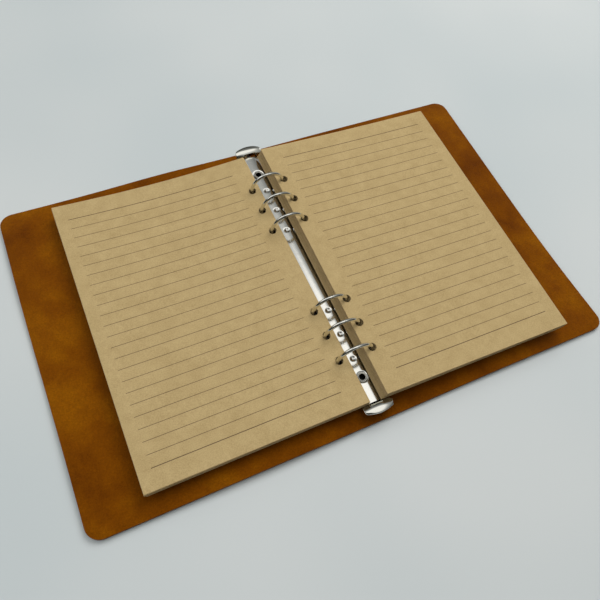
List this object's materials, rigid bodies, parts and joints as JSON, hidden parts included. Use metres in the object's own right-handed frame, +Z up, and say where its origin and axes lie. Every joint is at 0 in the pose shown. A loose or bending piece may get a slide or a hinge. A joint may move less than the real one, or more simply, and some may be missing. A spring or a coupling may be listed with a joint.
{
  "type": "ring binder",
  "caption": "Open leather ring binder in A5 size: folding oiled leather cover, nickel ring mechanism with opening levers, and punched ruled kraft sheets on both sides.",
  "frame": {"origin": "on the table under the middle of the spine, at the centre of the open cover's underside", "axes": "+X across the open book towards the right fore edge, +Y towards the head of the sheets, +Z up"},
  "size_m": [0.366, 0.233, 0.0276],
  "materials": {
    "tan_leather": "oiled pull-up leather, waxed and mottled, raw edges",
    "nickel_shell": "bright nickel plating on pressed steel",
    "rail_steel": "plain rolled steel",
    "ring_wire": "bright nickel plating on round steel wire",
    "lever_nickel": "bright nickel plating",
    "rivet_steel": "nickel-plated tubular rivet",
    "kraft_sheets": "uncoated brown kraft paper with fine printed rules"
  },
  "bodies": {
    "spine": {"spine_panel": "tan_leather", "ring_shell": "nickel_shell", "front_rivet": "rivet_steel", "back_rivet": "rivet_steel"},
    "left_cover": {"left_cover_panel": "tan_leather"},
    "right_cover": {"right_cover_panel": "tan_leather"},
    "left_rings": {"left_rail": "rail_steel", "left_ring_half_1": "ring_wire", "left_ring_half_2": "ring_wire", "left_ring_half_3": "ring_wire", "left_ring_half_4": "ring_wire", "left_ring_half_5": "ring_wire", "left_ring_half_6": "ring_wire"},
    "right_rings": {"right_rail": "rail_steel", "right_ring_half_1": "ring_wire", "right_ring_half_2": "ring_wire", "right_ring_half_3": "ring_wire", "right_ring_half_4": "ring_wire", "right_ring_half_5": "ring_wire", "right_ring_half_6": "ring_wire"},
    "front_lever": {"front_lever": "lever_nickel"},
    "back_lever": {"back_lever": "lever_nickel"},
    "left_pages": {"left_sheets_1": "kraft_sheets", "left_sheets_2": "kraft_sheets", "left_sheets_3": "kraft_sheets", "left_sheets_4": "kraft_sheets"},
    "right_pages": {"right_sheets_1": "kraft_sheets", "right_sheets_2": "kraft_sheets", "right_sheets_3": "kraft_sheets", "right_sheets_4": "kraft_sheets", "right_sheets_5": "kraft_sheets", "right_sheets_6": "kraft_sheets"}
  },
  "joints": [
    {"name": "left_cover_fold", "type": "hinge", "parent": "spine", "child": "left_cover", "pos_m": [-0.0165, 0, 0.0024], "axis": [0, 1, 0], "range_deg": [0, 90]},
    {"name": "right_cover_fold", "type": "hinge", "parent": "spine", "child": "right_cover", "pos_m": [0.0165, 0, 0.0024], "axis": [0, -1, 0], "range_deg": [0, 90]},
    {"name": "left_pages_turn", "type": "hinge", "parent": "spine", "child": "left_pages", "pos_m": [0, 0, 0.0142], "axis": [0, 1, 0], "range_deg": [0, 90]},
    {"name": "right_pages_turn", "type": "hinge", "parent": "spine", "child": "right_pages", "pos_m": [0.00133, 0, 0.01512], "axis": [0, -1, 0], "range_deg": [0, 90]},
    {"name": "ring_opening", "type": "hinge", "parent": "spine", "child": "left_rings", "pos_m": [-0.0066, 0, 0.00475], "axis": [0, -1, 0], "range_deg": [0, 8]},
    {"name": "right_ring_opening", "type": "hinge", "parent": "spine", "child": "right_rings", "pos_m": [0.0066, 0, 0.00475], "axis": [0, 1, 0], "range_deg": [0, 8]},
    {"name": "front_lever_press", "type": "hinge", "parent": "spine", "child": "front_lever", "pos_m": [0, -0.1012, 0.0056], "axis": [1, 0, 0], "range_deg": [0, 9.6]},
    {"name": "back_lever_press", "type": "hinge", "parent": "spine", "child": "back_lever", "pos_m": [0, 0.1038, 0.0056], "axis": [-1, 0, 0], "range_deg": [0, 9.6]}
  ],
  "couplings": [
    {"joint": "left_pages_turn", "follows": "left_cover_fold", "ratio": 1},
    {"joint": "right_pages_turn", "follows": "right_cover_fold", "ratio": 1},
    {"joint": "right_ring_opening", "follows": "ring_opening", "ratio": 1},
    {"joint": "front_lever_press", "follows": "ring_opening", "ratio": 1.2},
    {"joint": "back_lever_press", "follows": "ring_opening", "ratio": 1.2}
  ]
}
